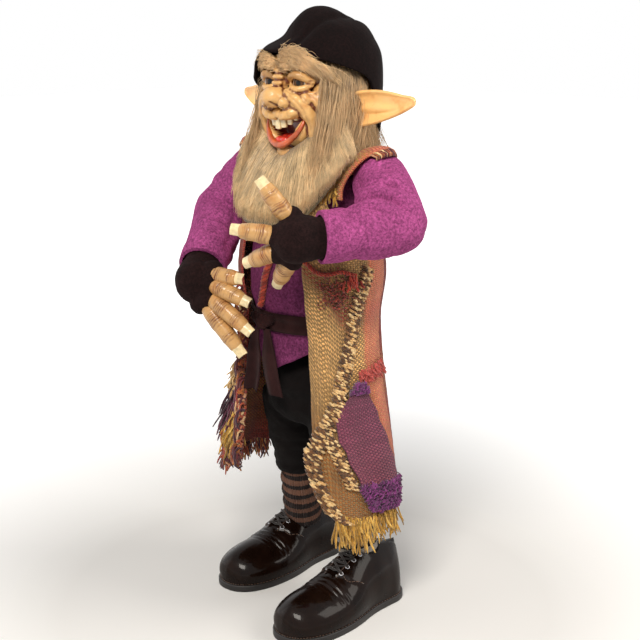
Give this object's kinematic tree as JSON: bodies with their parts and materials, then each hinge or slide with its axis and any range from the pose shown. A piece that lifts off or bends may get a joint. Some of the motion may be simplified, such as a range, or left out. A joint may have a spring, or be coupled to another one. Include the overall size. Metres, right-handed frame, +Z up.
{
  "type": "textile goblin figure",
  "caption": "Standing folk goblin doll with a painted laughing face, long ears, beard, felt hat, tunic, ragged woven vest and leather shoes; the head turns and the arms bend.",
  "frame": {"origin": "middle of the whole figure's box, on the floor under the shoe soles", "axes": "+Z up; the figure faces -Y and its left hand is towards +X"},
  "size_m": [0.2944, 0.2366, 0.5984],
  "materials": {
    "wood": "raw",
    "steel": "plain",
    "padding": "soft",
    "purple_felt": "felt",
    "black_felt": "felt",
    "black_cloth": "woven",
    "sash_cloth": "woven",
    "tan_weave": "coarse weave",
    "red_weave": "coarse weave",
    "purple_weave": "coarse weave",
    "red_cord": "braided",
    "striped_knit": "knitted",
    "shoe_leather": "polished",
    "sole_rubber": "matt",
    "lace": "braided",
    "painted_skin": "painted satin",
    "mouth_red": "gloss",
    "tooth": "gloss",
    "eye_glass": "gloss",
    "grey_fur": "long pile"
  },
  "bodies": {
    "body": {"spine_post": "wood", "chest_block": "wood", "pelvis_block": "wood", "neck_bolt": "steel", "neck_disc": "wood", "torso_padding": "padding", "tunic": "purple_felt", "waist_sash": "sash_cloth", "sash_knot": "sash_cloth", "sash_end_right": "sash_cloth", "sash_end_left": "sash_cloth", "vest_left_front": "tan_weave", "vest_right_front": "tan_weave", "vest_back": "red_weave", "vest_strap_right": "tan_weave", "vest_strap_left": "tan_weave", "vest_patch": "purple_weave", "tie_cord": "red_cord", "trouser_seat": "black_cloth", "leg_rod_right": "steel", "trouser_leg_right": "black_cloth", "sock_right": "striped_knit", "shoe_upper_right": "shoe_leather", "shoe_sole_right": "sole_rubber", "shoe_lace_right": "lace", "leg_rod_left": "steel", "trouser_leg_left": "black_cloth", "sock_left": "striped_knit", "shoe_upper_left": "shoe_leather", "shoe_sole_left": "sole_rubber", "shoe_lace_left": "lace", "shoulder_bolt_left": "steel", "shoulder_bolt_right": "steel"},
    "head": {"head_casting": "painted_skin", "eye_right": "eye_glass", "ear_right": "painted_skin", "eye_left": "eye_glass", "ear_left": "painted_skin", "tongue": "mouth_red", "upper_teeth": "tooth", "wig": "grey_fur", "hat": "black_felt", "brow_right": "grey_fur", "brow_left": "grey_fur", "beard": "grey_fur"},
    "left_arm": {"upper_arm_core_left": "wood", "elbow_pin_left": "steel", "sleeve_upper_left": "purple_felt"},
    "left_forearm": {"forearm_core_left": "wood", "sleeve_lower_left": "purple_felt", "hand_left": "painted_skin", "glove_left": "black_felt"},
    "right_arm": {"upper_arm_core_right": "wood", "elbow_pin_right": "steel", "sleeve_upper_right": "purple_felt"},
    "right_forearm": {"forearm_core_right": "wood", "sleeve_lower_right": "purple_felt", "hand_right": "painted_skin", "glove_right": "black_felt"}
  },
  "joints": [
    {"name": "neck_turn", "type": "hinge", "parent": "body", "child": "head", "pos_m": [-0.00867, 0.01731, 0.5], "axis": [0, 0, 1], "range_deg": [-16, 16]},
    {"name": "left_shoulder_swing", "type": "hinge", "parent": "body", "child": "left_arm", "pos_m": [0.07333, 0.02531, 0.438], "axis": [-1, 0, 0], "range_deg": [-8, 30]},
    {"name": "left_elbow_bend", "type": "hinge", "parent": "left_arm", "child": "left_forearm", "pos_m": [0.12018, 0.00291, 0.39726], "axis": [0.5347, -0.3108, 0.7858], "range_deg": [-8, 55]},
    {"name": "right_shoulder_swing", "type": "hinge", "parent": "body", "child": "right_arm", "pos_m": [-0.09067, 0.02531, 0.438], "axis": [-1, 0, 0], "range_deg": [0, 30]},
    {"name": "right_elbow_bend", "type": "hinge", "parent": "right_arm", "child": "right_forearm", "pos_m": [-0.12018, -0.00419, 0.38686], "axis": [0.3987, 0.6758, -0.6199], "range_deg": [-5, 40]}
  ]
}
